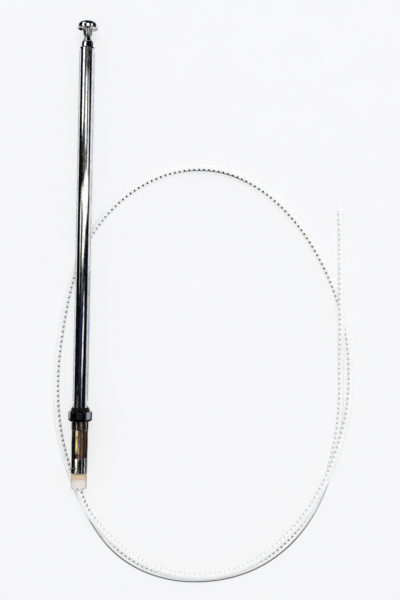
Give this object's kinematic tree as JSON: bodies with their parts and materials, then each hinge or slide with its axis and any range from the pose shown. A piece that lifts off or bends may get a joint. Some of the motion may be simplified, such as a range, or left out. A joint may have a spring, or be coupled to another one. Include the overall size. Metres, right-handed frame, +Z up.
{
  "type": "telescopic power antenna mast",
  "caption": "Collapsed telescopic car antenna mast with tip cap, mast nut, contact sleeve and a toothed nylon drive cord.",
  "frame": {"origin": "on the mast's own axis, half way along the collapsed mast from the plug's end to the top of the cap", "axes": "+Y along the mast towards the tip cap, +Z up from the table that the mast and its cord lie on"},
  "size_m": [0.2046, 0.3788, 0.0171],
  "materials": {
    "barrel_chrome": "bright chrome plating on the barrel",
    "section_chrome": "bright chrome plating on the sliding sections",
    "cap_chrome": "polished chrome plating",
    "nut_chrome": "chrome plating on a turned and milled nut",
    "bush_plastic": "black moulded plastic",
    "collar_brass": "dark tarnished brass",
    "sleeve_brass": "tarnished and streaked brass",
    "ring_nickel": "bright nickel plating",
    "plug_nylon": "cream moulded nylon, ambered near the metal",
    "cord_nylon": "natural milky nylon",
    "spring_bronze": "rolled bronze strip",
    "ferrule_brass": "turned brass"
  },
  "bodies": {
    "mast_base": {"outer_tube": "barrel_chrome", "contact_sleeve": "sleeve_brass", "stop_collar": "collar_brass", "crimp_ring": "ring_nickel", "guide_plug": "plug_nylon", "drive_cord": "cord_nylon"},
    "nut_bush": {"nut_bush": "bush_plastic"},
    "mast_nut": {"mast_nut": "nut_chrome"},
    "section_2": {"section_2_tube": "section_chrome", "section_2_spring_a": "spring_bronze", "section_2_spring_b": "spring_bronze"},
    "section_3": {"section_3_tube": "section_chrome", "section_3_spring_a": "spring_bronze", "section_3_spring_b": "spring_bronze"},
    "section_4": {"section_4_rod": "section_chrome", "cord_ferrule": "ferrule_brass", "rod_spring_a": "spring_bronze", "rod_spring_b": "spring_bronze", "tip_cap": "cap_chrome"}
  },
  "joints": [
    {"name": "section_2_slide", "type": "slide", "parent": "mast_base", "child": "section_2", "axis": [0, 1, 0], "range_m": [0, 0.25]},
    {"name": "section_3_slide", "type": "slide", "parent": "section_2", "child": "section_3", "axis": [0, 1, 0], "range_m": [0, 0.25]},
    {"name": "section_4_slide", "type": "slide", "parent": "section_3", "child": "section_4", "axis": [0, 1, 0], "range_m": [0, 0.25]},
    {"name": "nut_slide", "type": "slide", "parent": "mast_base", "child": "nut_bush", "axis": [0, 1, 0], "range_m": [0, 0.085]},
    {"name": "nut_spin", "type": "hinge", "parent": "nut_bush", "child": "mast_nut", "pos_m": [0, -0.1088, 0], "axis": [0, 1, 0], "continuous": true}
  ]
}
